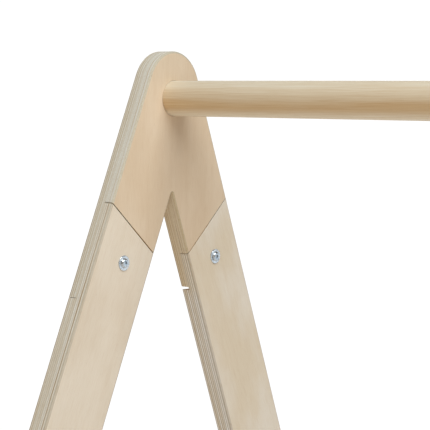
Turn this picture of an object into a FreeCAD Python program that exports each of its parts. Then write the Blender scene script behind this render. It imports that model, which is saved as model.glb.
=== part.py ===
"""Free-standing wooden kip bar: a round bar between two plywood A-frames.

Each A-frame is an apex plate, two long legs and a side tie, all cut from the same plywood
and joined by bolted half laps. Two stretchers hold the A-frames at their distance.

Frame of the part, in millimetres: +X along the bar, +Z up, floor at Z = 0, origin on the
floor under the middle of the bar. "side" is -1 for the left A-frame and +1 for the right
one (X), "end" is -1 for a front leg and +1 for a rear leg (Y). A plate's inner face looks
at the other A-frame. A point of a leg is given by how far it lies along the leg's middle
line from the centre of the round crown, and how far outward from that line.
"""
import FreeCAD
import Part
import math
import os

import Sketcher
from FreeCAD import Rotation, Vector

SIDES = {"left": -1, "right": 1}
ENDS = {"front": -1, "rear": 1}
NODE_FOLDER = "parts"

DIMENSIONS = {
    # Overall layout
    "bar_diameter": 40,
    "bar_axis_height": 1200,
    "frame_gap": 1150,
    "splay_angle": 22.2,
    # Plywood parts
    "ply_thickness": 24,
    "rail_width": 87,
    "crown_rise": 9.5,
    "crotch_radius": 1,
    "roundover_radius": 3,
    "tie_height": 330,
    "stretcher_height": 180,
    # Half laps of apex plate and leg, measured along the leg from the crown's centre
    "lap_bolt_distance": 207.5,
    "lap_half_length": 40,
    "front_inner_slope": 18.2,
    "front_outer_slope": 20,
    "rear_inner_slope": 21.5,
    "rear_outer_slope": 22,
    "front_inner_gap": 1.4,
    "front_outer_gap": 0.6,
    "rear_inner_gap": 1,
    "rear_outer_gap": 4,
    "tie_seam_gap": 0.4,
    # Bar ends
    "socket_depth": 8,
    "socket_gap": 0.3,
    "insert_diameter": 12,
    "insert_length": 30,
    "pin_diameter": 8,
    "pin_offset": 13,
    "pin_depth_in_plate": 11,
    "pin_depth_in_bar": 25,
    # Hardware; a ratio is taken of the head's own diameter or height
    "edge_radius": 1,
    "thread_gap": 0.3,
    "press_gap": 0.15,
    "dome_radius_ratio": 0.24,
    "dome_top_ratio": 0.72,
    "dome_rim_ratio": 0.12,
    "hex_depth_ratio": 0.62,
    "slot_width": 1.4,
    "slot_depth": 1.2,
    "small_bolt_diameter": 6,
    "small_head_diameter": 11,
    "small_head_height": 2.2,
    "small_hex_width": 4,
    "lap_bolt_length": 20,
    "stretcher_bolt_length": 58,
    "large_bolt_diameter": 8,
    "large_head_diameter": 14,
    "large_head_height": 4.4,
    "large_hex_width": 5,
    "bar_bolt_length": 44,
    "small_washer_diameter": 17,
    "small_washer_thickness": 1.2,
    "large_washer_diameter": 24,
    "large_washer_thickness": 2,
    "sleeve_diameter": 8.4,
    "sleeve_length": 16,
    "flange_diameter": 16,
    "flange_thickness": 2,
    "flange_socket_depth": 1.4,
    "sleeve_floor_thickness": 1,
    "barrel_diameter": 10,
    "barrel_length": 20,
    "barrel_inset": 30,
    "stretcher_bolt_spacing": 44,
    # Rubber feet
    "foot_height": 8,
    "foot_width": 21,
    "foot_length": 87,
    "foot_corner_radius": 4,
    "foot_screw_spacing": 50,
    "foot_screw_recess": 4,
    "screw_diameter": 4,
    "screw_head_diameter": 8,
    "screw_head_height": 2.6,
    "screw_rim_height": 0.65,
    "screw_dome_ratio": 0.7,
    "screw_length": 24,
}

HALF_WIDTH = "dims.rail_width/2"
HALF_GAP = "dims.frame_gap/2"
CROWN_HEIGHT = "(dims.bar_axis_height + dims.crown_rise)"
SEAM_SIDES = {"inner": -1, "outer": 1}
LEG_FOOT_Z = f"(dims.foot_height - {CROWN_HEIGHT})"
BOLT_HOLE = "dims.small_bolt_diameter + 2*dims.thread_gap"
SLEEVE_HOLE = "dims.sleeve_diameter + 2*dims.press_gap"

doc = FreeCAD.newDocument("kip_bar")


def make_sheet():
    """Put the driving dimensions in a spreadsheet, one alias per row."""
    sheet = doc.addObject("Spreadsheet::Sheet", "dims")
    for row, (alias, value) in enumerate(DIMENSIONS.items(), start=1):
        sheet.set(f"A{row}", alias.replace("_", " "))
        sheet.set(f"B{row}", str(value))
        sheet.setAlias(f"B{row}", alias)
    doc.recompute()
    return sheet


sheet = make_sheet()


# Sketching and feature helpers

def value(expression):
    """Number that an expression of the sheet's dimensions gives now."""
    return float(sheet.evalExpression(expression))


def origin_plane(body, role):
    """Origin plane of a body, by its role."""
    return next(feature for feature in body.Origin.OriginFeatures if feature.Role == role)


def new_body(label):
    """Empty PartDesign body with the node's label."""
    body = doc.addObject("PartDesign::Body", label)
    body.Label = label
    return body


def new_sketch(body, name, plane="YZ_Plane", offset="0"):
    """Sketch on one of the body's origin planes, moved along the plane's normal."""
    sketch = body.newObject("Sketcher::SketchObject", name)
    sketch.AttachmentSupport = (origin_plane(body, plane), [""])
    sketch.MapMode = "FlatFace"
    sketch.setExpression("AttachmentOffset.Base.z", offset)
    return sketch


def bind(sketch, kind, references, expression, number):
    """Add a dimensional constraint and drive it with an expression."""
    index = sketch.addConstraint(Sketcher.Constraint(kind, *references, number))
    name = f"{kind.lower()}_{index}"
    sketch.renameConstraint(index, name)
    sketch.setExpression(f"Constraints.{name}", expression)


def bind_point(sketch, geometry, point, across, up):
    """Hold a point of the sketch at two driven coordinates."""
    bind(sketch, "DistanceX", (-1, 1, geometry, point), across, value(across))
    bind(sketch, "DistanceY", (-1, 1, geometry, point), up, value(up))


def arc_between(start, stop, radius, turn):
    """Arc from start to stop, turning left (turn = 1) or right (turn = -1), under 180 degrees."""
    chord = stop - start
    middle = (start + stop) * 0.5
    height = max(radius ** 2 - (chord.Length / 2) ** 2, 0) ** 0.5
    left = Vector(-chord.y, chord.x, 0).normalize()
    centre = middle + left * (height * turn)
    first, last = (start, stop) if turn > 0 else (stop, start)
    x_axis = Vector(1, 0, 0)
    up = Vector(0, 0, 1)
    angles = [(point - centre).getAngle(x_axis) * (1 if (point - centre).y >= 0 else -1)
              for point in (first, last)]
    return Part.ArcOfCircle(Part.Circle(centre, up, radius), angles[0], angles[1])


def draw_outline(sketch, corners):
    """Closed outline through driven corners.

    A corner is (across, up) when a straight line follows it, or (across, up, radius, turn)
    when an arc of that radius does.
    """
    points = [Vector(value(corner[0]), value(corner[1]), 0) for corner in corners]
    entry_points = []
    exit_points = []
    for index, corner in enumerate(corners):
        start = points[index]
        stop = points[(index + 1) % len(points)]
        if len(corner) == 2:
            sketch.addGeometry(Part.LineSegment(start, stop), False)
            entry_points.append(1)
            exit_points.append(2)
            continue
        radius, turn = corner[2:]
        sketch.addGeometry(arc_between(start, stop, value(radius), turn), False)
        entry_points.append(1 if turn > 0 else 2)
        exit_points.append(2 if turn > 0 else 1)
    count = len(corners)
    for index in range(count):
        following = (index + 1) % count
        sketch.addConstraint(Sketcher.Constraint(
            "Coincident", index, exit_points[index], following, entry_points[following]))
    for index, corner in enumerate(corners):
        bind_point(sketch, index, entry_points[index], corner[0], corner[1])
        if len(corner) == 4:
            bind(sketch, "Radius", (index,), corner[2], value(corner[2]))


def draw_circle(sketch, across, up, diameter):
    """Circle with driven centre and diameter."""
    centre = Vector(value(across), value(up), 0)
    circle = Part.Circle(centre, Vector(0, 0, 1), value(diameter) / 2)
    index = sketch.addGeometry(circle, False)
    bind_point(sketch, index, 3, across, up)
    bind(sketch, "Diameter", (index,), diameter, value(diameter))


def rectangle(half_across, half_up):
    """Corners of a rectangle about the sketch's origin."""
    return [(f"-({half_across})", f"-({half_up})"), (half_across, f"-({half_up})"),
            (half_across, half_up), (f"-({half_across})", half_up)]


def pad(body, sketch, length, direction=1, symmetric=False):
    """Pad a sketch along its normal (direction = 1), against it (-1) or to both sides."""
    feature = body.newObject("PartDesign::Pad", f"{sketch.Name}_pad")
    feature.Profile = sketch
    feature.setExpression("Length", length)
    feature.Reversed = direction < 0
    feature.SideType = "Symmetric" if symmetric else "One side"
    sketch.Visibility = False
    doc.recompute()
    return feature


def pocket(body, sketch, length, direction):
    """Cut a sketch along its normal (direction = 1) or against it (-1)."""
    volume_before = body.Shape.Volume
    feature = body.newObject("PartDesign::Pocket", f"{sketch.Name}_pocket")
    feature.Profile = sketch
    feature.setExpression("Length", length)
    feature.Reversed = direction > 0
    sketch.Visibility = False
    doc.recompute()
    if body.Shape.Volume >= volume_before:
        raise RuntimeError(f"{feature.Name} cuts nothing")
    return feature


def revolve(body, sketch):
    """Turn a sketch about its own vertical axis."""
    feature = body.newObject("PartDesign::Revolution", f"{sketch.Name}_revolution")
    feature.Profile = sketch
    feature.ReferenceAxis = (sketch, ["V_Axis"])
    feature.Angle = 360
    sketch.Visibility = False
    doc.recompute()
    return feature


def fillet(body, name, radius, wanted):
    """Round every edge of the body that the function wanted accepts."""
    base = body.Tip
    names = [f"Edge{number}" for number, edge in enumerate(base.Shape.Edges, start=1)
             if wanted(edge)]
    if not names:
        raise RuntimeError(f"{name} finds no edge")
    feature = body.newObject("PartDesign::Fillet", name)
    feature.Base = (base, names)
    feature.setExpression("Radius", radius)
    doc.recompute()
    return feature


def place(item, across, along, up):
    """Drive where a body or link stands."""
    item.setExpression("Placement.Base.x", across)
    item.setExpression("Placement.Base.y", along)
    item.setExpression("Placement.Base.z", up)


def is_parallel(edge, axis):
    """True for a straight edge along an axis."""
    if edge.Curve.TypeId != "Part::GeomLine":
        return False
    return abs(abs(edge.Curve.Direction.dot(axis)) - 1) < 1e-6


def lies_at(edge, coordinate, position):
    """True for an edge whose ends and middle all share one coordinate, 'x', 'y' or 'z'."""
    low, high = edge.ParameterRange
    points = [edge.valueAt(low), edge.valueAt((low + high) / 2), edge.valueAt(high)]
    return all(abs(getattr(point, coordinate) - position) < 1e-4 for point in points)


# Geometry of the A-frame

def on_leg(end, along, outward):
    """Y and Z, from the crown's centre, of a point given along a leg and outward from it."""
    across = (f"{end}*(({along})*sin(dims.splay_angle)"
              f" + ({outward})*cos(dims.splay_angle))")
    up = f"-({along})*cos(dims.splay_angle) + ({outward})*sin(dims.splay_angle)"
    return across, up


def leg_line_at(end, drop, outward):
    """Y, from the crown's centre, where a line parallel to a leg is a drop below the crown."""
    return f"{end}*(({drop})*tan(dims.splay_angle) + ({outward})/cos(dims.splay_angle))"


def seam_corner(end_word, layer, part, outward):
    """Corner of a part where the seam in a half-thickness layer meets a leg's edge.

    part is -1 for the apex plate and 1 for the leg. The inner layer's seam is above the
    lap's bolt and rises outward; the outer layer's is below it and falls outward.
    """
    lean = SEAM_SIDES[layer]
    along = (f"dims.lap_bolt_distance + {lean}*dims.lap_half_length"
             f" + {part}*dims.{end_word}_{layer}_gap/2"
             f" + {lean}*({outward})*tan(dims.{end_word}_{layer}_slope)")
    return on_leg(ENDS[end_word], along, outward)


def half_plates(body, side, inner_corners, outer_corners):
    """Pad a plate as two half-thickness layers with outlines of their own."""
    inner = new_sketch(body, f"{body.Name}_inner_half")
    draw_outline(inner, inner_corners)
    pad(body, inner, "dims.ply_thickness/2", side)
    outer = new_sketch(body, f"{body.Name}_outer_half", offset=f"{side}*dims.ply_thickness/2")
    draw_outline(outer, outer_corners)
    pad(body, outer, "dims.ply_thickness/2", side)


def round_over(body, side, wanted):
    """Round the edges that wanted accepts on a plate's inner and outer face."""
    outer_face = side * value("dims.ply_thickness")
    fillet(body, f"{body.Name}_roundover", "dims.roundover_radius",
           lambda edge: (lies_at(edge, "x", 0) or lies_at(edge, "x", outer_face))
           and wanted(edge))


def runs_along_leg(edge):
    """True for a plate's edge beside a leg's middle line, false for one that crosses it."""
    splay = math.radians(value("dims.splay_angle"))
    centre = edge.CenterOfMass
    outward = abs(centre.y) * math.cos(splay) + centre.z * math.sin(splay)
    return abs(outward) > value("dims.rail_width/4")


def drill(body, side, name, centres, diameter, depth="dims.ply_thickness"):
    """Drill round holes from a plate's inner face."""
    sketch = new_sketch(body, f"{body.Name}_{name}")
    for across, up in centres:
        draw_circle(sketch, across, up, diameter)
    pocket(body, sketch, depth, side)


def lap_bolt_point(end):
    """Centre of the lap of apex plate and leg."""
    return on_leg(end, "dims.lap_bolt_distance", "0")


def tie_bolt_point(end):
    """Centre of the lap of leg and side tie, from the crown's centre."""
    drop = f"({CROWN_HEIGHT} - dims.tie_height)"
    return leg_line_at(end, drop, "0"), f"-{drop}"


def stretcher_bolt_points(end):
    """The two bolt centres of a stretcher's end, from the crown's centre."""
    middle = f"({CROWN_HEIGHT} - dims.stretcher_height)/cos(dims.splay_angle)"
    return [on_leg(end, f"{middle} + {sign}*dims.stretcher_bolt_spacing/2", "0")
            for sign in (-1, 1)]


# Wooden parts

def make_bar():
    """Round bar with a hole for the threaded insert and one for the pin in each end."""
    body = new_body("bar")
    place(body, "0", "0", "dims.bar_axis_height")
    section = new_sketch(body, "bar_section")
    draw_circle(section, "0", "0", "dims.bar_diameter")
    pad(body, section, "dims.frame_gap + 2*dims.socket_depth", symmetric=True)
    half_length = value(f"{HALF_GAP} + dims.socket_depth")
    fillet(body, "bar_end_rounding", "dims.edge_radius",
           lambda edge: lies_at(edge, "x", half_length) or lies_at(edge, "x", -half_length))
    for word, side in SIDES.items():
        offset = f"{side}*({HALF_GAP} + dims.socket_depth)"
        insert = new_sketch(body, f"bar_insert_{word}", offset=offset)
        draw_circle(insert, "0", "0", "dims.insert_diameter + 2*dims.press_gap")
        pocket(body, insert, "dims.insert_length", -side)
        pin = new_sketch(body, f"bar_pin_{word}", offset=offset)
        draw_circle(pin, "0", "-dims.pin_offset", "dims.pin_diameter + 2*dims.press_gap")
        pocket(body, pin, "dims.pin_depth_in_bar", -side)
    return body


def make_apex_plate(word, side):
    """Plate with a round crown and two arms, with a socket for the bar in its inner face."""
    body = new_body(f"apex_plate_{word}")
    place(body, f"{side}*{HALF_GAP}", "0", CROWN_HEIGHT)
    crotch = ("0", f"-{HALF_WIDTH}/sin(dims.splay_angle)")
    crown = [on_leg(1, "0", HALF_WIDTH) + ("dims.rail_width/2", 1), on_leg(-1, "0", HALF_WIDTH)]

    def outline(layer):
        front = [seam_corner("front", layer, -1, outward)
                 for outward in (HALF_WIDTH, f"-{HALF_WIDTH}")]
        rear = [seam_corner("rear", layer, -1, outward)
                for outward in (f"-{HALF_WIDTH}", HALF_WIDTH)]
        return crown + front + [crotch] + rear

    half_plates(body, side, outline("inner"), outline("outer"))
    fillet(body, f"{body.Name}_crotch", "dims.crotch_radius",
           lambda edge: is_parallel(edge, Vector(1, 0, 0)) and lies_at(edge, "y", 0))
    round_over(body, side, runs_along_leg)
    socket_centre = [("0", "-dims.crown_rise")]
    drill(body, side, "socket", socket_centre, "dims.bar_diameter + 2*dims.socket_gap",
          "dims.socket_depth")
    drill(body, side, "bar_bolt_hole", socket_centre,
          "dims.large_bolt_diameter + 2*dims.thread_gap")
    drill(body, side, "pin_hole", [("0", "-dims.crown_rise - dims.pin_offset")],
          "dims.pin_diameter + 2*dims.press_gap",
          "dims.socket_depth + dims.pin_depth_in_plate")
    drill(body, side, "lap_holes", [lap_bolt_point(end) for end in ENDS.values()], SLEEVE_HOLE)
    return body


def make_leg(end_word, end, side_word, side):
    """Long plywood leg: tongue at the top, recess for the side tie, level foot."""
    body = new_body(f"leg_{end_word}_{side_word}")
    place(body, f"{side}*{HALF_GAP}", "0", CROWN_HEIGHT)
    foot_drop = f"({CROWN_HEIGHT} - dims.foot_height)"
    foot = [(leg_line_at(end, foot_drop, outward), f"-{foot_drop}")
            for outward in (HALF_WIDTH, f"-{HALF_WIDTH}")]

    def outline(layer):
        top = [seam_corner(end_word, layer, 1, outward)
               for outward in (f"-{HALF_WIDTH}", HALF_WIDTH)]
        return top + foot

    half_plates(body, side, outline("inner"), outline("outer"))
    round_over(body, side, runs_along_leg)
    recess = new_sketch(body, f"{body.Name}_tie_recess")
    draw_outline(recess, tie_recess_corners(end))
    pocket(body, recess, "dims.ply_thickness/2", side)
    drill(body, side, "lap_hole", [lap_bolt_point(end)], SLEEVE_HOLE)
    drill(body, side, "tie_hole", [tie_bolt_point(end)], SLEEVE_HOLE)
    drill(body, side, "stretcher_holes", stretcher_bolt_points(end), BOLT_HOLE)
    pilots = new_sketch(body, f"{body.Name}_pilots", "XY_Plane", LEG_FOOT_Z)
    for along in foot_screw_rows(end):
        draw_circle(pilots, f"{side}*dims.ply_thickness/2", along,
                    "dims.screw_diameter + 2*dims.thread_gap")
    pocket(body, pilots, "dims.screw_length", 1)
    return body


def tie_recess_corners(end):
    """Outline of the recess that a side tie's tongue lies in, wider than the leg."""
    corners = []
    for level, outward in ((-1, -1), (-1, 1), (1, 1), (1, -1)):
        drop = (f"({CROWN_HEIGHT} - dims.tie_height"
                f" - {level}*({HALF_WIDTH} + dims.tie_seam_gap))")
        corners.append((leg_line_at(end, drop, f"{outward}*dims.rail_width"), f"-{drop}"))
    return corners


def foot_screw_rows(end):
    """Y of the two screws that hold a foot."""
    middle = leg_line_at(end, f"({CROWN_HEIGHT} - dims.foot_height)", "0")
    return [f"{middle} + {sign}*dims.foot_screw_spacing/2" for sign in (-1, 1)]


def make_side_tie(word, side):
    """Level rail between the two legs of an A-frame, half-lapped into their inner faces."""
    body = new_body(f"side_tie_{word}")
    place(body, f"{side}*{HALF_GAP}", "0", "dims.tie_height")

    def outline(outward):
        corners = []
        for end, levels in ((-1, (1, -1)), (1, (-1, 1))):
            for level in levels:
                up = f"{level}*{HALF_WIDTH}"
                drop = f"({CROWN_HEIGHT} - dims.tie_height - {up})"
                corners.append((leg_line_at(end, drop, outward), up))
        return corners

    half_plates(body, side, outline(HALF_WIDTH), outline(f"-{HALF_WIDTH} - dims.tie_seam_gap"))
    round_over(body, side,
               lambda edge: is_parallel(edge, Vector(0, 1, 0)) or lies_at(edge, "x", 0))
    across = [leg_line_at(end, f"({CROWN_HEIGHT} - dims.tie_height)", "0")
              for end in ENDS.values()]
    drill(body, side, "bolt_holes", [(point, "0") for point in across], SLEEVE_HOLE)
    return body


def make_stretcher(word, end):
    """Rail between the A-frames, in line with the front or the rear legs."""
    body = new_body(f"stretcher_{word}")
    drop = f"({CROWN_HEIGHT} - dims.stretcher_height)"
    lean = f"{end}*dims.splay_angle"
    body.Placement.Rotation = Rotation(Vector(1, 0, 0), value(lean))
    body.setExpression("Placement.Rotation.Angle", lean)
    place(body, "0", leg_line_at(end, drop, "0"), "dims.stretcher_height")
    section = new_sketch(body, f"{body.Name}_section")
    draw_outline(section, rectangle("dims.ply_thickness/2", HALF_WIDTH))
    pad(body, section, "dims.frame_gap", symmetric=True)
    fillet(body, f"{body.Name}_roundover", "dims.roundover_radius",
           lambda edge: is_parallel(edge, Vector(1, 0, 0)))
    rows = [f"{sign}*dims.stretcher_bolt_spacing/2" for sign in (-1, 1)]
    for side_word, side in SIDES.items():
        bolts = new_sketch(body, f"{body.Name}_bolts_{side_word}", offset=f"{side}*{HALF_GAP}")
        for row in rows:
            draw_circle(bolts, "0", row, BOLT_HOLE)
        pocket(body, bolts, "dims.barrel_inset + dims.barrel_diameter", -side)
    barrels = new_sketch(body, f"{body.Name}_barrels", "XZ_Plane",
                         f"{end}*dims.ply_thickness/2")
    for side in SIDES.values():
        for row in rows:
            draw_circle(barrels, f"{side}*({HALF_GAP} - dims.barrel_inset)", row,
                        "dims.barrel_diameter + 2*dims.press_gap")
    pocket(body, barrels, "(dims.ply_thickness + dims.barrel_length)/2", -end)
    return body


def make_foot(end_word, end, side_word, side):
    """Rubber pad under a leg, with two recessed screw holes."""
    body = new_body(f"foot_{end_word}_{side_word}")
    place(body, f"{side}*({HALF_GAP} + dims.ply_thickness/2)",
          leg_line_at(end, f"({CROWN_HEIGHT} - dims.foot_height)", "0"), "0")
    outline = new_sketch(body, f"{body.Name}_outline", "XY_Plane")
    draw_outline(outline, rectangle("dims.foot_width/2", "dims.foot_length/2"))
    pad(body, outline, "dims.foot_height")
    fillet(body, f"{body.Name}_corners", "dims.foot_corner_radius",
           lambda edge: is_parallel(edge, Vector(0, 0, 1)))
    fillet(body, f"{body.Name}_eased", "dims.edge_radius", lambda edge: lies_at(edge, "z", 0))
    recesses = new_sketch(body, f"{body.Name}_recesses", "XY_Plane")
    holes = new_sketch(body, f"{body.Name}_holes", "XY_Plane")
    for sign in (-1, 1):
        row = f"{sign}*dims.foot_screw_spacing/2"
        draw_circle(recesses, "0", row, "dims.screw_head_diameter + 2*dims.thread_gap")
        draw_circle(holes, "0", row, "dims.screw_diameter + 2*dims.thread_gap")
    pocket(body, recesses, "dims.foot_screw_recess", 1)
    pocket(body, holes, "dims.foot_height", 1)
    return body


# Hardware masters: the axis is Z, the bearing plane is Z = 0 and the head points up

def cut_hex(body, width, top, depth):
    """Cut a hexagon socket of a given width across flats into a head."""
    sketch = new_sketch(body, f"{body.Name}_hex", "XY_Plane", top)
    corners = [(f"({width})/sqrt(3)*cos({angle})", f"({width})/sqrt(3)*sin({angle})")
               for angle in range(0, 360, 60)]
    draw_outline(sketch, corners)
    pocket(body, sketch, depth, -1)


def cut_slot(body, top, half_length):
    """Cut a screwdriver slot down from a level top."""
    sketch = new_sketch(body, f"{body.Name}_slot", "XY_Plane", top)
    draw_outline(sketch, rectangle("dims.slot_width/2", half_length))
    pocket(body, sketch, "dims.slot_depth", -1)


def make_pan_bolt(name, size, length):
    """Pan-head bolt with a hexagon socket; size is 'small' or 'large'."""
    body = new_body(name)
    head_radius = f"dims.{size}_head_diameter/2"
    head_height = f"dims.{size}_head_height"
    shank_radius = f"dims.{size}_bolt_diameter/2"
    profile = new_sketch(body, f"{name}_profile", "XZ_Plane")
    draw_outline(profile, [
        ("0", f"-({length})"),
        (f"{shank_radius} - dims.edge_radius/2", f"-({length})"),
        (shank_radius, f"-({length}) + dims.edge_radius/2"),
        (shank_radius, "0"),
        (head_radius, "0"),
        (head_radius, f"dims.dome_rim_ratio*{head_height}",
         f"dims.dome_radius_ratio*dims.{size}_head_diameter", 1),
        (f"dims.dome_top_ratio*{head_radius}", head_height),
        ("0", head_height),
    ])
    revolve(body, profile)
    cut_hex(body, f"dims.{size}_hex_width", head_height, f"dims.hex_depth_ratio*{head_height}")
    return body


def make_washer(name, size):
    """Large flat washer with its outer edges rounded by the punch."""
    body = new_body(name)
    sketch = new_sketch(body, f"{name}_ring", "XY_Plane")
    draw_circle(sketch, "0", "0", f"dims.{size}_washer_diameter")
    draw_circle(sketch, "0", "0", f"dims.{size}_bolt_diameter + 2*dims.thread_gap")
    pad(body, sketch, f"dims.{size}_washer_thickness")
    top = value(f"dims.{size}_washer_thickness")
    bolt_diameter = value(f"dims.{size}_bolt_diameter")
    fillet(body, f"{name}_rim", "dims.edge_radius/2",
           lambda edge: lies_at(edge, "z", top) and edge.Curve.Radius > bolt_diameter)
    return body


def make_sleeve_nut(name):
    """Flanged sleeve nut that goes into the plate from its outer face."""
    body = new_body(name)
    flange_top = "dims.flange_thickness"
    bore_top = f"{flange_top} - dims.flange_socket_depth - dims.sleeve_floor_thickness"
    bore_radius = "dims.small_bolt_diameter/2 + dims.thread_gap"
    profile = new_sketch(body, f"{name}_profile", "XZ_Plane")
    draw_outline(profile, [
        ("0", bore_top),
        (bore_radius, bore_top),
        (bore_radius, "-dims.sleeve_length"),
        ("dims.sleeve_diameter/2", "-dims.sleeve_length"),
        ("dims.sleeve_diameter/2", "0"),
        ("dims.flange_diameter/2", "0"),
        ("dims.flange_diameter/2", f"{flange_top}/2", f"{flange_top}/2", 1),
        (f"dims.flange_diameter/2 - {flange_top}/2", flange_top),
        ("0", flange_top),
    ])
    revolve(body, profile)
    cut_hex(body, "dims.small_hex_width", flange_top, "dims.flange_socket_depth")
    return body


def make_bar_insert(name):
    """Threaded insert in the end of the bar; its mouth is at Z = 0 and it lies below."""
    body = new_body(name)
    sketch = new_sketch(body, f"{name}_ring", "XY_Plane")
    draw_circle(sketch, "0", "0", "dims.insert_diameter")
    draw_circle(sketch, "0", "0", "dims.large_bolt_diameter + 2*dims.thread_gap")
    pad(body, sketch, "dims.insert_length", -1)
    return body


def make_pin(name):
    """Steel pin that stops the bar from turning; the bar's end face is at Z = 0."""
    body = new_body(name)
    sketch = new_sketch(body, f"{name}_section", "XY_Plane", "-dims.pin_depth_in_bar")
    draw_circle(sketch, "0", "0", "dims.pin_diameter")
    pad(body, sketch, "dims.pin_depth_in_bar + dims.pin_depth_in_plate")
    fillet(body, f"{name}_ends", "dims.edge_radius",
           lambda edge: not is_parallel(edge, Vector(0, 0, 1)))
    return body


def make_barrel_nut(name):
    """Barrel nut: cross hole through its middle along X, screwdriver slot in its top."""
    body = new_body(name)
    section = new_sketch(body, f"{name}_section", "XY_Plane")
    draw_circle(section, "0", "0", "dims.barrel_diameter")
    pad(body, section, "dims.barrel_length", symmetric=True)
    cross_hole = new_sketch(body, f"{name}_cross_hole", "YZ_Plane", "-dims.barrel_diameter/2")
    draw_circle(cross_hole, "0", "0", BOLT_HOLE)
    pocket(body, cross_hole, "dims.barrel_diameter", 1)
    cut_slot(body, "dims.barrel_length/2", "dims.barrel_diameter")
    return body


def make_foot_screw(name):
    """Round-head wood screw, head up."""
    body = new_body(name)
    head_radius = "dims.screw_head_diameter/2"
    profile = new_sketch(body, f"{name}_profile", "XZ_Plane")
    draw_outline(profile, [
        ("0", "-dims.screw_length"),
        ("dims.screw_diameter/2", "-dims.screw_length + dims.screw_diameter"),
        ("dims.screw_diameter/2", "0"),
        (head_radius, "0"),
        (head_radius, "dims.screw_rim_height",
         "dims.screw_dome_ratio*dims.screw_head_diameter", 1),
        (f"{head_radius}/2", "dims.screw_head_height"),
        ("0", "dims.screw_head_height"),
    ])
    revolve(body, profile)
    cut_slot(body, "dims.screw_head_height", head_radius)
    return body


# Hardware groups: one node holds every identical fastener, as separate solids

def make_group(label, master, seats):
    """Compound of linked copies; a seat is (x, y, z, rotation) with driven coordinates."""
    links = []
    for index, (across, along, up, rotation) in enumerate(seats, start=1):
        link = doc.addObject("App::Link", f"{label}_{index}")
        link.LinkedObject = master
        link.Placement.Rotation = rotation
        place(link, across, along, up)
        links.append(link)
    group = doc.addObject("Part::Compound", label)
    group.Label = label
    group.Links = links
    return group


def facing(direction):
    """Rotation that turns +Z to +X (direction = 1) or to -X (direction = -1)."""
    return Rotation(Vector(0, 0, 1), Vector(direction, 0, 0))


def inner_seats(points, lift="0"):
    """Seats on the inner faces, at points from the crown's centre, head towards the middle."""
    return [(f"{side}*({HALF_GAP} - ({lift}))", across, f"{CROWN_HEIGHT} + {up}", facing(-side))
            for side in SIDES.values() for across, up in points]


def outer_seats(points, lift="0"):
    """Seats on the outer faces, at points from the crown's centre, head outward."""
    return [(f"{side}*({HALF_GAP} + dims.ply_thickness + {lift})", across,
             f"{CROWN_HEIGHT} + {up}", facing(side))
            for side in SIDES.values() for across, up in points]


def make_lap_hardware():
    """Bolt, washer and sleeve nut at each lap of the A-frames."""
    bolt = make_pan_bolt("lap_bolt_master", "small", "dims.lap_bolt_length")
    washer = make_washer("small_washer_master", "small")
    sleeve = make_sleeve_nut("sleeve_nut_master")
    nodes = []
    for word, find_point in (("lap", lap_bolt_point), ("tie", tie_bolt_point)):
        points = [find_point(end) for end in ENDS.values()]
        nodes.append(make_group(f"{word}_bolts", bolt,
                                inner_seats(points, "dims.small_washer_thickness")))
        nodes.append(make_group(f"{word}_washers", washer, inner_seats(points)))
        nodes.append(make_group(f"{word}_sleeve_nuts", sleeve, outer_seats(points)))
    return nodes, washer


def make_stretcher_hardware(washer):
    """Two bolts with washers and barrel nuts at each end of each stretcher."""
    bolt = make_pan_bolt("stretcher_bolt_master", "small", "dims.stretcher_bolt_length")
    barrel = make_barrel_nut("barrel_nut_master")
    points = [point for end in ENDS.values() for point in stretcher_bolt_points(end)]
    barrel_seats = []
    for side in SIDES.values():
        for end in ENDS.values():
            inward = Rotation(Vector(1, 0, 0), end * (90 + value("dims.splay_angle")))
            for across, up in stretcher_bolt_points(end):
                barrel_seats.append((f"{side}*({HALF_GAP} - dims.barrel_inset)", across,
                                     f"{CROWN_HEIGHT} + {up}", inward))
    return [
        make_group("stretcher_bolts", bolt, outer_seats(points, "dims.small_washer_thickness")),
        make_group("stretcher_washers", washer, outer_seats(points)),
        make_group("stretcher_barrel_nuts", barrel, barrel_seats),
    ]


def make_bar_hardware():
    """Bolt, washer, threaded insert and pin at each end of the bar."""
    axis = [("0", "-dims.crown_rise")]
    bar_end = f"({HALF_GAP} + dims.socket_depth)"
    insert_seats = [(f"{side}*{bar_end}", "0", "dims.bar_axis_height", facing(side))
                    for side in SIDES.values()]
    pin_seats = [(f"{side}*{bar_end}", "0", "dims.bar_axis_height - dims.pin_offset",
                  facing(side)) for side in SIDES.values()]
    return [
        make_group("bar_bolts",
                   make_pan_bolt("bar_bolt_master", "large", "dims.bar_bolt_length"),
                   outer_seats(axis, "dims.large_washer_thickness")),
        make_group("bar_washers", make_washer("large_washer_master", "large"),
                   outer_seats(axis)),
        make_group("bar_inserts", make_bar_insert("bar_insert_master"), insert_seats),
        make_group("bar_pins", make_pin("bar_pin_master"), pin_seats),
    ]


def make_foot_screws():
    """Two screws up through each rubber foot into its leg."""
    downward = Rotation(Vector(0, 0, 1), Vector(0, 0, -1))
    seats = [(f"{side}*({HALF_GAP} + dims.ply_thickness/2)", row, "dims.foot_screw_recess",
              downward)
             for side in SIDES.values() for end in ENDS.values()
             for row in foot_screw_rows(end)]
    return make_group("foot_screws", make_foot_screw("foot_screw_master"), seats)


def make_nodes():
    """Build every sub-part, in the order of assembly."""
    nodes = [make_bar()]
    for side_word, side in SIDES.items():
        nodes.append(make_apex_plate(side_word, side))
        nodes.append(make_side_tie(side_word, side))
        for end_word, end in ENDS.items():
            nodes.append(make_leg(end_word, end, side_word, side))
            nodes.append(make_foot(end_word, end, side_word, side))
    for end_word, end in ENDS.items():
        nodes.append(make_stretcher(end_word, end))
    lap_nodes, washer = make_lap_hardware()
    nodes += lap_nodes
    nodes += make_stretcher_hardware(washer)
    nodes += make_bar_hardware()
    nodes.append(make_foot_screws())
    return nodes


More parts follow.
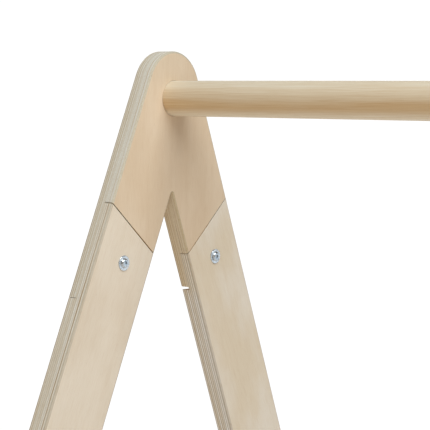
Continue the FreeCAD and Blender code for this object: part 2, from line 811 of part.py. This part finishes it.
def check(nodes):
    """Stop if any object of the document failed or any node has no sound shape."""
    for item in doc.Objects:
        if "Invalid" in item.State or "Error" in item.State:
            raise RuntimeError(f"{item.Label}: {item.State}")
    for node in nodes:
        if node.Shape.isNull() or not node.Shape.isValid() or not node.Shape.Solids:
            raise RuntimeError(f"{node.Label} has no valid solid")


def export(nodes):
    """Write each node to a STEP file of its own."""
    os.makedirs(NODE_FOLDER, exist_ok=True)
    for node in nodes:
        node.Shape.exportStep(os.path.join(NODE_FOLDER, f"{node.Label}.step"))
        print(f"{node.Label}: {len(node.Shape.Solids)} solids, {node.Shape.Volume:.0f} mm3")


nodes = make_nodes()
doc.recompute()
check(nodes)
export(nodes)
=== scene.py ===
import math

import bpy
from mathutils import Matrix, Vector


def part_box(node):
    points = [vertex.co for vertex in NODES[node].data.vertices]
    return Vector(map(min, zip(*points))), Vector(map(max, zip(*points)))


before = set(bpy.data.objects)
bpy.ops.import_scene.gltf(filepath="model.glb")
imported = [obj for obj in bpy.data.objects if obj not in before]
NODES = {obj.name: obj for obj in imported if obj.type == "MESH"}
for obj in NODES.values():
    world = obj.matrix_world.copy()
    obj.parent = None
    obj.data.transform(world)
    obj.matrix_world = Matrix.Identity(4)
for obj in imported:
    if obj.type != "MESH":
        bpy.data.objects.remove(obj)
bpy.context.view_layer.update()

# ---------------------------------------------------------------- sizes, in metres

MM = 0.001
X, Y, Z = Vector((1, 0, 0)), Vector((0, 1, 0)), Vector((0, 0, 1))
SPLAY = math.radians(22.2)
LEANS = {"front": Vector((0, math.sin(SPLAY), math.cos(SPLAY))),
         "rear": Vector((0, -math.sin(SPLAY), math.cos(SPLAY)))}

low_plate, high_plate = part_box("apex_plate_left")
low_tie, high_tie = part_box("side_tie_left")
low_bar, high_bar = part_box("bar")
INNER_FACE = high_plate.x
THICKNESS = high_plate.x - low_plate.x
RAIL_WIDTH = high_tie.z - low_tie.z
CROWN_CENTRE = Vector((0, 0, high_plate.z - RAIL_WIDTH / 2))
BAR_AXIS = (low_bar + high_bar) / 2
BAR_RADIUS = (high_bar.z - low_bar.z) / 2
APEX = Vector((INNER_FACE, 0, BAR_AXIS.z))


def linear(red, green, blue):
    """An 8-bit sRGB colour as the linear colour that a socket takes."""
    def channel(value):
        value /= 255
        return value / 12.92 if value <= 0.04045 else ((value + 0.055) / 1.055) ** 2.4
    return (channel(red), channel(green), channel(blue), 1.0)


# ---------------------------------------------------------------- node trees as expressions

# the Mix node's colour sockets share their names with its number and vector sockets
MIX_FIRST, MIX_SECOND, MIX_RESULT = 6, 7, 2


class Graph:
    """The node tree of a new material or world. Most methods add a node and return its output."""

    def __init__(self, owner):
        owner.use_nodes = True
        self.owner = owner
        self.tree = owner.node_tree
        self.tree.nodes.clear()

    def node(self, kind, **settings):
        made = self.tree.nodes.new(kind)
        for key, value in settings.items():
            setattr(made, key, value)
        return made

    def plug(self, socket, value):
        if isinstance(value, bpy.types.NodeSocket):
            self.tree.links.new(value, socket)
        else:
            socket.default_value = value

    def place(self):
        return self.node("ShaderNodeTexCoord").outputs["Object"]

    def math(self, operation, *values):
        made = self.node("ShaderNodeMath", operation=operation)
        for socket, value in zip(made.inputs, values):
            self.plug(socket, value)
        return made.outputs[0]

    def plus(self, first, second):
        return self.math("ADD", first, second)

    def minus(self, first, second):
        return self.math("SUBTRACT", first, second)

    def times(self, first, second):
        return self.math("MULTIPLY", first, second)

    def apart(self, first, second):
        return self.math("ABSOLUTE", self.minus(first, second))

    def vector_math(self, operation, *vectors):
        made = self.node("ShaderNodeVectorMath", operation=operation)
        for socket, value in zip(made.inputs, vectors):
            self.plug(socket, value)
        return made

    def dot(self, vector, direction):
        return self.vector_math("DOT_PRODUCT", vector, direction).outputs["Value"]

    def shift(self, vector, offset):
        return self.vector_math("SUBTRACT", vector, offset).outputs["Vector"]

    def length(self, vector):
        return self.vector_math("LENGTH", vector).outputs["Value"]

    def combine(self, *values):
        made = self.node("ShaderNodeCombineXYZ")
        for socket, value in zip(made.inputs, values):
            self.plug(socket, value)
        return made.outputs[0]

    def noise(self, vector, scale, detail, roughness=0.5):
        made = self.node("ShaderNodeTexNoise", noise_dimensions="3D")
        for key, value in (("Vector", vector), ("Scale", scale), ("Detail", detail),
                           ("Roughness", roughness)):
            self.plug(made.inputs[key], value)
        return made.outputs["Fac"]

    def hashed(self, value):
        made = self.node("ShaderNodeTexWhiteNoise", noise_dimensions="1D")
        self.plug(made.inputs["W"], value)
        return made.outputs["Value"]

    def remap(self, value, low, high, start=0.0, end=1.0):
        """start at low and before, end at high and beyond, with a soft passage between."""
        made = self.node("ShaderNodeMapRange", interpolation_type="SMOOTHSTEP")
        for socket, number in zip(made.inputs, (value, low, high, start, end)):
            self.plug(socket, number)
        return made.outputs["Result"]

    def mix(self, factor, first, second, blend="MIX"):
        made = self.node("ShaderNodeMix", data_type="RGBA", blend_type=blend)
        self.plug(made.inputs["Factor"], factor)
        self.plug(made.inputs[MIX_FIRST], first)
        self.plug(made.inputs[MIX_SECOND], second)
        return made.outputs[MIX_RESULT]

    def tint(self, colour, factor, shade):
        """colour times shade, as far as factor says."""
        return self.mix(factor, colour, shade, "MULTIPLY")

    def finish(self, colour, roughness, height, relief, **constants):
        """The material: colour, roughness and height come from the nodes, the rest is even.

        relief is the depth in metres of a height of 1.
        """
        shader = self.node("ShaderNodeBsdfPrincipled")
        bump = self.node("ShaderNodeBump")
        self.plug(bump.inputs["Height"], height)
        self.plug(bump.inputs["Distance"], relief)
        self.plug(bump.inputs["Strength"], 1.0)
        self.plug(shader.inputs["Base Color"], colour)
        self.plug(shader.inputs["Roughness"], roughness)
        self.plug(shader.inputs["Normal"], bump.outputs["Normal"])
        for key, value in constants.items():
            shader.inputs[key.replace("_", " ")].default_value = value
        output = self.node("ShaderNodeOutputMaterial")
        self.plug(output.inputs["Surface"], shader.outputs["BSDF"])
        return self.owner


def new_material(name):
    return Graph(bpy.data.materials.new(name))


def wear(material, *names):
    """The CAD nodes of these names take the material in each of their slots."""
    for name in names:
        for slot in NODES[name].material_slots:
            slot.material = material


# ---------------------------------------------------------------- birch plywood

RAIL_PALETTE = {
    "face": linear(238, 225, 206),
    "face_deep": linear(232, 217, 196),
    "pale": linear(246, 234, 218),
    "figure": linear(222, 203, 176),
    "pore": linear(190, 160, 126),
    # painted shade on the rounded edges
    "rounded": linear(211, 203, 192),
    # painted warm shade for the cut edges in the notch and inside the laps
    "notch": linear(250, 245, 236),
    "lap": linear(255, 222, 176),
    "edge": linear(248, 247, 240),
    "edge_end": linear(224, 223, 213),
    "ply": linear(231, 218, 197),
    "glue": linear(174, 150, 121),
    # painted shade of the small end-ply gaps
    "gap_shade": linear(176, 146, 108),
    "core": linear(206, 184, 154),
    "core_ply": 3.6,
    "calm": 0.8,
}
PLATE_PALETTE = dict(
    RAIL_PALETTE,
    face=linear(231, 210, 183),
    face_deep=linear(226, 203, 174),
    pale=linear(238, 219, 195),
    # painted shade on the rounded edges, lighter on the plates
    rounded=linear(226, 219, 206),
    # painted warm shade for the cut edges in the plates' notch
    notch=linear(247, 234, 215),
    edge=linear(238, 239, 233),
    edge_end=linear(231, 231, 222),
    core=linear(226, 208, 180),
    calm=0.25,
)
# the rear legs: paler faces and whiter cut edges, partly the boards' own tone, partly painted
# light where they stand in shade
REAR_PALETTE = dict(
    RAIL_PALETTE,
    face=linear(240, 230, 214),
    face_deep=linear(233, 218, 194),
    edge=linear(255, 255, 254),
    edge_end=linear(215, 215, 208),
)
LEG_PALETTES = {"front": RAIL_PALETTE, "rear": REAR_PALETTE}

# What makes one board's pattern differ from another's
SEEDS = {
    "apex_plate_left": 2.0, "apex_plate_right": 3.0,
    "side_tie_left": 12.5, "side_tie_right": 13.5,
    "leg_front_left": 22.0, "leg_rear_left": 24.1,
    "leg_front_right": 26.3, "leg_rear_right": 28.4,
    "stretcher_front": 41.0, "stretcher_rear": 44.3,
}
PLY_COUNT = 17
FIGURE_LINES = 46.0
HALF_RAIL = RAIL_WIDTH / 2

# Distance from a ply's middle, in plies, over which the glue line sets in
GLUE_FADE = (0.40, 0.49)
# Depth below a flat face over which the plies come into view, and over which the rounded
# edge, with its painted shade, ends
CUT_FADE = (0.02 * MM, 0.14 * MM)
ROUNDED_FADE = (3.0 * MM, 0.8 * MM)
# Share of the thickness over which the plies change from calm to lively
LIVELY_FADE = (0.38, 0.55)
# Height above the crown's centre over which the painted shade of the notch and the laps comes and
# goes
NOTCH_FADE = (-242 * MM, -226 * MM)
LAP_TOP_FADE = (-150 * MM, -155 * MM)
LAP_BOTTOM_FADE = (-300 * MM, -295 * MM)
# Distance outwards from a leg's middle line over which its inner edge, and the inside of a
# lap, come into view and take their painted shade
INNER_EDGE_FADE = (-HALF_RAIL + 4 * MM, -HALF_RAIL + 1 * MM)
INSIDE_FADE = (HALF_RAIL - 3 * MM, HALF_RAIL - 6 * MM)


def veneer(g, width, length, seed, palette):
    """The face: long soft figure, silky fibres, a few pale and dark streaks, and pores.

    Returns its colour, and the fibres for the relief.
    """
    def drawn_out(stretch, offset, scale, detail, roughness=0.5, across=width):
        """Noise drawn out along the grain, the longer the smaller stretch is."""
        return g.noise(g.combine(across, g.times(length, stretch), seed + offset),
                       scale, detail, roughness)

    drift = drawn_out(stretch=0.16, offset=0.0, scale=9.0, detail=2.0)
    figure = drawn_out(stretch=0.1, offset=3.1, scale=34.0, detail=3.0, roughness=0.55,
                       across=g.plus(width, g.times(drift, 0.05)))
    contour = g.math("SINE", g.times(figure, FIGURE_LINES))
    streak = drawn_out(stretch=0.035, offset=7.7, scale=150.0, detail=3.0, roughness=0.6)
    fibre = drawn_out(stretch=0.045, offset=1.3, scale=1500.0, detail=2.0, roughness=0.6)
    cloud = drawn_out(stretch=0.5, offset=5.9, scale=17.0, detail=3.0)
    pore = drawn_out(stretch=0.12, offset=9.4, scale=900.0, detail=1.0)

    face = g.mix(g.remap(cloud, 0.36, 0.64), palette["face"], palette["face_deep"])
    face = g.tint(face, g.remap(contour, -1.0, 1.0, end=0.03), palette["figure"])
    face = g.tint(face, g.remap(streak, 0.44, 0.70, end=0.08), palette["figure"])
    face = g.mix(g.remap(streak, 0.44, 0.28, end=0.09), face, palette["pale"])
    face = g.tint(face, g.remap(fibre, 0.40, 0.74, end=0.18), palette["figure"])
    face = g.tint(face, g.remap(pore, 0.72, 0.80, end=0.22), palette["pore"])
    return face, fibre


def cut_edge(g, depth, width, length, seed, palette):
    """The cut edge: alternate plies show their length or their ends, with glue lines between.

    Some plies are darker, one has a core that wanders in and out, and some end plies have
    small gaps, their dark painted shade with no relief. Returns the colour, and the fibres and
    glue lines for the relief.
    """
    ply = g.times(depth, PLY_COUNT / THICKNESS)
    index = g.math("FLOOR", ply)
    crossed = g.math("PINGPONG", index, 1.0)
    within = g.math("FRACT", ply)

    own = g.hashed(g.plus(index, seed))
    run = g.noise(g.combine(g.plus(g.times(index, 3.7), seed), g.times(ply, 0.9),
                            g.times(length, 9.0)), scale=1.0, detail=3.0, roughness=0.6)
    ends = g.noise(g.combine(depth, width, length), scale=2600.0, detail=2.0, roughness=0.6)
    lengths = g.noise(g.combine(depth, g.times(width, 0.3), g.times(length, 0.05)),
                      scale=3200.0, detail=2.0, roughness=0.6)
    texture = g.plus(g.times(crossed, ends), g.times(g.minus(1.0, crossed), lengths))
    core = g.remap(g.apart(ply, palette["core_ply"]), 1.0, 0.2)
    wander = g.noise(g.combine(g.times(length, 0.7), seed, 0.0),
                     scale=6.0, detail=3.0, roughness=0.6)
    glue = g.remap(g.apart(within, 0.5), *GLUE_FADE)
    # painted shade: small dark gaps in the end plies
    gap_shade = g.times(g.remap(run, 0.66, 0.72), crossed)

    lively = g.remap(depth, *(THICKNESS * share for share in LIVELY_FADE),
                     start=palette["calm"])
    edge = g.mix(crossed, palette["edge"], palette["edge_end"])
    edge = g.tint(edge, g.times(g.remap(own, 0.1, 1.0, end=0.75), lively), palette["ply"])
    edge = g.tint(edge, g.times(g.remap(run, 0.35, 0.75, end=0.6), lively), palette["ply"])
    edge = g.tint(edge, g.times(core, g.remap(wander, 0.36, 0.62, 0.1, 0.75)), palette["core"])
    edge = g.tint(edge, g.remap(texture, 0.35, 0.75, end=0.6), palette["figure"])
    edge = g.tint(edge, g.times(glue, 0.55), palette["glue"])
    edge = g.tint(edge, g.times(gap_shade, 0.9), palette["gap_shade"])
    return edge, texture, glue


def painted_notch_and_lap_shade(g, edge, place, palette):
    """The cut edge, browner in the A-frame's notch and inside its laps: painted warm shade and
    bounce light between the boards.
    """
    from_middle = g.shift(place, CROWN_CENTRE)
    height = g.dot(from_middle, Z)
    reach = g.plus(g.times(g.math("ABSOLUTE", g.dot(from_middle, Y)), math.cos(SPLAY)),
                   g.dot(from_middle, Z * math.sin(SPLAY)))
    notch = g.times(g.remap(reach, *INNER_EDGE_FADE), g.remap(height, *NOTCH_FADE))
    inside = g.remap(g.math("ABSOLUTE", reach), *INSIDE_FADE)
    lap = g.times(g.remap(height, *LAP_TOP_FADE), g.remap(height, *LAP_BOTTOM_FADE))
    return g.tint(g.tint(edge, notch, palette["notch"]), g.times(inside, lap), palette["lap"])


def plywood(name, corner, through, along, seed, palette, framed=True):
    """A board of birch plywood.

    corner is a point on one face, through the unit vector to the other face, and along the
    face grain. The same solid pattern makes the veneer on the faces and the plies on every
    cut edge. A framed board belongs to an A-frame, with painted shade in its notch and laps.
    """
    g = new_material(name)
    place = g.place()
    local = g.shift(place, corner)
    depth = g.dot(local, through)
    length = g.dot(local, along)
    width = g.dot(local, through.cross(along))
    skin = g.math("MINIMUM", depth, g.minus(THICKNESS, depth))

    face, fibre = veneer(g, width, length, seed, palette)
    edge, texture, glue = cut_edge(g, depth, width, length, seed, palette)
    # in the notch and inside the laps the cut edges take painted shade
    if framed:
        edge = painted_notch_and_lap_shade(g, edge, place, palette)

    # the plies show on the rounded edge too, with painted shade that holds down its highlight
    cut = g.remap(skin, *CUT_FADE)
    rounded = g.times(cut, g.remap(skin, *ROUNDED_FADE))
    colour = g.tint(g.mix(cut, face, edge), rounded, palette["rounded"])
    handled = g.noise(place, scale=14.0, detail=3.0, roughness=0.6)
    roughness = g.plus(g.remap(handled, 0.3, 0.7, 0.50, 0.64),
                       g.times(cut, g.remap(texture, 0.3, 0.7, 0.02, 0.16)))
    height = g.minus(g.times(fibre, g.minus(1.0, cut)),
                     g.times(cut, g.plus(g.times(texture, 1.2), g.times(glue, 0.8))))
    return g.finish(colour, roughness, height, relief=0.06 * MM, Specular_IOR_Level=0.34)


for hand, outward in (("left", -X), ("right", X)):
    corner = outward * abs(INNER_FACE)
    plate, tie = "apex_plate_" + hand, "side_tie_" + hand
    wear(plywood("plate_plywood_" + hand, corner, outward, Z, SEEDS[plate], PLATE_PALETTE), plate)
    wear(plywood("tie_plywood_" + hand, corner, outward, Y, SEEDS[tie], RAIL_PALETTE), tie)
    for end, along in LEANS.items():
        leg = "leg_" + end + "_" + hand
        wear(plywood("leg_plywood_" + end + "_" + hand, corner, outward, along, SEEDS[leg],
                     LEG_PALETTES[end]), leg)

for end, sign in (("front", -1), ("rear", 1)):
    stretcher = "stretcher_" + end
    low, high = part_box(stretcher)
    through = Vector((0, math.cos(SPLAY), sign * math.sin(SPLAY)))
    corner = (low + high) / 2 - through * THICKNESS / 2
    wear(plywood("stretcher_plywood_" + end, corner, through, X, SEEDS[stretcher],
                 RAIL_PALETTE, framed=False), stretcher)

# ---------------------------------------------------------------- the turned bar

# Where the band of heartwood and painted shade lies: in front of the axis, a little below
HEART_AND_SHADE_ANGLE = math.radians(24.0)
HEART_AND_SHADE_SIDE = Vector((0, -math.cos(HEART_AND_SHADE_ANGLE), -math.sin(HEART_AND_SHADE_ANGLE)))
PITH = (0.6, 3.1)           # of the tree, in front of and below the bar's axis, in bar radii
RINGS_PER_METRE = 620.0
SWAY = 6 * MM


def turned_wood(name, axis, radius):
    """Solid wood turned round: growth rings show as long, nearly straight streaks.

    A darker band runs along the front, a little below the middle: partly heartwood, partly
    painted shade.
    """
    g = new_material(name)
    local = g.shift(g.place(), axis)
    length = g.dot(local, X)
    across = g.dot(local, Y)
    bend = g.noise(g.combine(g.times(length, 1.1), 0.3, 0.7), scale=4.0, detail=2.0)
    up = g.plus(g.dot(local, Z), g.times(g.minus(bend, 0.5), SWAY))
    fine = g.noise(g.combine(g.times(length, 0.02), across, up),
                   scale=1100.0, detail=3.0, roughness=0.6)
    broad = g.noise(g.combine(g.times(length, 0.025), across, up), scale=190.0, detail=2.0)

    from_pith = g.length(g.combine(0.0, g.plus(across, PITH[0] * radius),
                                   g.plus(up, PITH[1] * radius)))
    ring = g.math("FRACT", g.plus(g.times(from_pith, RINGS_PER_METRE), g.times(broad, 0.8)))
    late = g.times(g.remap(ring, 0.3, 0.92), g.remap(ring, 1.0, 0.94))

    drift = g.noise(g.combine(g.times(length, 0.5), g.times(up, 2.0), 4.2),
                    scale=9.0, detail=3.0, roughness=0.55)
    aside = g.plus(g.dot(local, HEART_AND_SHADE_SIDE.cross(X)),
                   g.times(g.minus(drift, 0.5), 0.35 * radius))
    # the band: heartwood streak and painted shade on the lower front
    heart_and_shade = g.times(g.remap(g.math("ABSOLUTE", aside), 0.52 * radius, 0.08 * radius),
                    g.remap(g.dot(local, HEART_AND_SHADE_SIDE), 0.0, 0.5 * radius))
    heart_and_shade = g.times(heart_and_shade, g.remap(drift, 0.62, 0.40, start=0.55))
    # painted warm shade round the bar's middle height; less on the bottom, none on the top
    warm = g.times(g.remap(aside, 1.15 * radius, 0.5 * radius),
                   g.remap(aside, -0.8 * radius, -0.2 * radius, start=0.35))

    colour = g.mix(g.remap(broad, 0.35, 0.65), linear(235, 227, 208), linear(232, 221, 199))
    colour = g.tint(colour, warm, linear(243, 232, 218))
    # heartwood and painted shade
    colour = g.tint(colour, heart_and_shade, linear(246, 233, 212))
    colour = g.tint(colour, g.times(late, 0.22), linear(222, 196, 156))
    colour = g.tint(colour, g.remap(fine, 0.40, 0.74, end=0.34), linear(222, 200, 166))
    end_grain = g.noise(local, scale=2400.0, detail=2.0, roughness=0.6)
    roughness = g.remap(g.plus(g.times(fine, 0.6), g.times(end_grain, 0.4)),
                        0.3, 0.7, 0.42, 0.56)
    height = g.plus(fine, g.times(late, -0.25))
    return g.finish(colour, roughness, height, relief=0.03 * MM, Specular_IOR_Level=0.36)


wear(turned_wood("bar_wood", BAR_AXIS, BAR_RADIUS), "bar")

# ---------------------------------------------------------------- zinc and rubber


def zinc(name, clear, cloudy, stain):
    """Zinc plating with a bluish passivation: soft mottling, stains, fine tumbling marks."""
    g = new_material(name)
    place = g.place()
    mottle = g.noise(place, scale=700.0, detail=3.0, roughness=0.6)
    cloud = g.noise(place, scale=260.0, detail=2.0)
    marks = g.noise(place, scale=5200.0, detail=2.0, roughness=0.6)
    colour = g.mix(g.remap(cloud, 0.35, 0.65), clear, cloudy)
    colour = g.tint(colour, g.remap(mottle, 0.52, 0.66, end=0.9), stain)
    roughness = g.remap(mottle, 0.3, 0.72, 0.15, 0.32)
    height = g.plus(marks, g.times(mottle, 1.5))
    return g.finish(colour, roughness, height, relief=0.012 * MM, Metallic=1.0)


def rubber(name):
    """Moulded black rubber with a fine spark texture and a little dust."""
    g = new_material(name)
    place = g.place()
    grain = g.noise(place, scale=2200.0, detail=3.0, roughness=0.7)
    dust = g.noise(place, scale=60.0, detail=3.0, roughness=0.6)
    colour = g.mix(g.remap(dust, 0.4, 0.75), linear(34, 34, 36), linear(62, 60, 58))
    roughness = g.remap(grain, 0.3, 0.7, 0.62, 0.82)
    return g.finish(colour, roughness, grain, relief=0.12 * MM, Specular_IOR_Level=0.4)


BRIGHT_ZINC = zinc("zinc_steel", linear(212, 220, 227), linear(224, 227, 228),
                   linear(126, 138, 152))
# a darker copy of the zinc for the bolt and screw heads: painted shade, for the dark studio they
# reflect
SHADED_ZINC = zinc("zinc_steel_heads", linear(196, 208, 218), linear(214, 220, 224),
                 linear(84, 96, 108))
RUBBER = rubber("rubber")
for name in NODES:
    kind = name.split("_")[-1]
    if name.startswith("foot_") and kind != "screws":
        wear(RUBBER, name)
    elif kind in ("bolts", "screws"):
        wear(SHADED_ZINC, name)
    elif kind in ("washers", "nuts", "inserts", "pins"):
        wear(BRIGHT_ZINC, name)

# ---------------------------------------------------------------- floor

FLOOR_RADIUS = 4.0
FLOOR_CORNERS = 96
FLOOR_GREYS = ((0.43, 0.43, 0.43, 1.0), (0.41, 0.41, 0.41, 1.0))
FLOOR_GLOW = (1.0, 0.935, 0.865, 1.0)


def floor():
    turns = [2 * math.pi * i / FLOOR_CORNERS for i in range(FLOOR_CORNERS)]
    rim = [(FLOOR_RADIUS * math.cos(turn), FLOOR_RADIUS * math.sin(turn), 0.0)
           for turn in turns]
    mesh = bpy.data.meshes.new("floor")
    mesh.from_pydata(rim, [], [list(range(FLOOR_CORNERS))])
    made = bpy.data.objects.new("floor", mesh)
    bpy.context.scene.collection.objects.link(made)
    g = new_material("floor")
    speck = g.noise(g.place(), scale=40.0, detail=3.0, roughness=0.6)
    colour = g.mix(g.remap(speck, 0.3, 0.7), *FLOOR_GREYS)
    mesh.materials.append(g.finish(
        colour, roughness=0.9, height=speck, relief=0.05 * MM, Specular_IOR_Level=0.2,
        Emission_Color=FLOOR_GLOW, Emission_Strength=0.49))


# ---------------------------------------------------------------- light

BACKDROP = (1.05, 1.05, 1.05, 1.0)
SHADED_SIDE = (0.110, 0.084, 0.062, 1.0)
OPEN_SIDE = (0.535, 0.480, 0.425, 1.0)
CARD = (0.88, 0.93, 0.97, 1.0)
BRIGHT_DIRECTION = Vector((0.15, -0.97, -0.2))
CARD_DIRECTION = Vector((0.63, 0.775, -0.05))
# Nearness to each direction, from -1 to 1, over which the bright side and the card set in
BRIGHT_FADE = (-0.4, 1.0)
CARD_FADE = (0.90, 0.955)


def studio_world():
    """White to the camera; as a light, a soft warm dome that is bright on one side only.

    A small bright card stands on the shaded side, for the fittings to reflect.
    """
    world = bpy.data.worlds.new("studio")
    bpy.context.scene.world = world
    g = Graph(world)
    direction = g.node("ShaderNodeTexCoord").outputs["Generated"]
    path = g.node("ShaderNodeLightPath")
    brightness = g.remap(g.dot(direction, BRIGHT_DIRECTION), *BRIGHT_FADE)
    card = g.times(g.remap(g.dot(direction, CARD_DIRECTION), *CARD_FADE),
                   path.outputs["Is Glossy Ray"])
    dome = g.mix(card, g.mix(brightness, SHADED_SIDE, OPEN_SIDE), CARD)
    shade = g.node("ShaderNodeBackground")
    g.plug(shade.inputs["Color"], g.mix(path.outputs["Is Camera Ray"], dome, BACKDROP))
    g.plug(g.node("ShaderNodeOutputWorld").inputs["Surface"], shade.outputs[0])


def softbox(name, offset, width, height, power, colour, reflected=True):
    """A rectangular light at this offset from the left apex, which it faces."""
    light = bpy.data.lights.new(name, "AREA")
    light.shape = "RECTANGLE"
    light.size, light.size_y = width, height
    light.energy = power
    light.color = colour
    made = bpy.data.objects.new(name, light)
    bpy.context.scene.collection.objects.link(made)
    made.visible_camera = False
    made.visible_glossy = reflected
    made.location = APEX + offset
    made.rotation_euler = (APEX - (APEX + offset)).to_track_quat("-Z", "Y").to_euler()


floor()
studio_world()
softbox("key", Vector((1.9, -0.72, 2.25)), width=2.9, height=1.8, power=84.0,
        colour=(0.94, 1.02, 1.07))
softbox("fill", Vector((-2.3, 2.1, 0.9)), width=2.4, height=2.4, power=60.0,
        colour=(1.0, 0.98, 0.95), reflected=False)

# ---------------------------------------------------------------- camera

# It stands in front of the right A-frame, a little below the bar's axis, and looks across at
# the inner side of the left apex. The offset is from that apex, in metres; a positive pitch
# looks down.
CAMERA_OFFSET = Vector((1.18753, -1.35517, -0.02840))
CAMERA_YAW = math.radians(39.6703)
CAMERA_PITCH = math.radians(3.2522)
CAMERA_ROLL = math.radians(1.3489)
SENSOR_WIDTH = 36.0         # in millimetres, as is the focal length
FOCAL_LENGTH = 133.197
NEAREST, FARTHEST = 0.05, 100.0

lens = bpy.data.cameras.new("camera")
lens.sensor_fit = "HORIZONTAL"
lens.sensor_width = SENSOR_WIDTH
lens.lens = FOCAL_LENGTH
lens.clip_start, lens.clip_end = NEAREST, FARTHEST
camera = bpy.data.objects.new("camera", lens)
bpy.context.scene.collection.objects.link(camera)
forward = Vector((-math.sin(CAMERA_YAW) * math.cos(CAMERA_PITCH),
                  math.cos(CAMERA_YAW) * math.cos(CAMERA_PITCH), -math.sin(CAMERA_PITCH)))
level = Vector((math.cos(CAMERA_YAW), math.sin(CAMERA_YAW), 0.0))
upright = level.cross(forward)
right = level * math.cos(CAMERA_ROLL) + upright * math.sin(CAMERA_ROLL)
top = upright * math.cos(CAMERA_ROLL) - level * math.sin(CAMERA_ROLL)
camera.matrix_world = Matrix.LocRotScale(
    APEX + CAMERA_OFFSET, Matrix((right, top, -forward)).transposed().to_quaternion(), None)
bpy.context.scene.camera = camera
bpy.context.scene.view_settings.view_transform = "Standard"
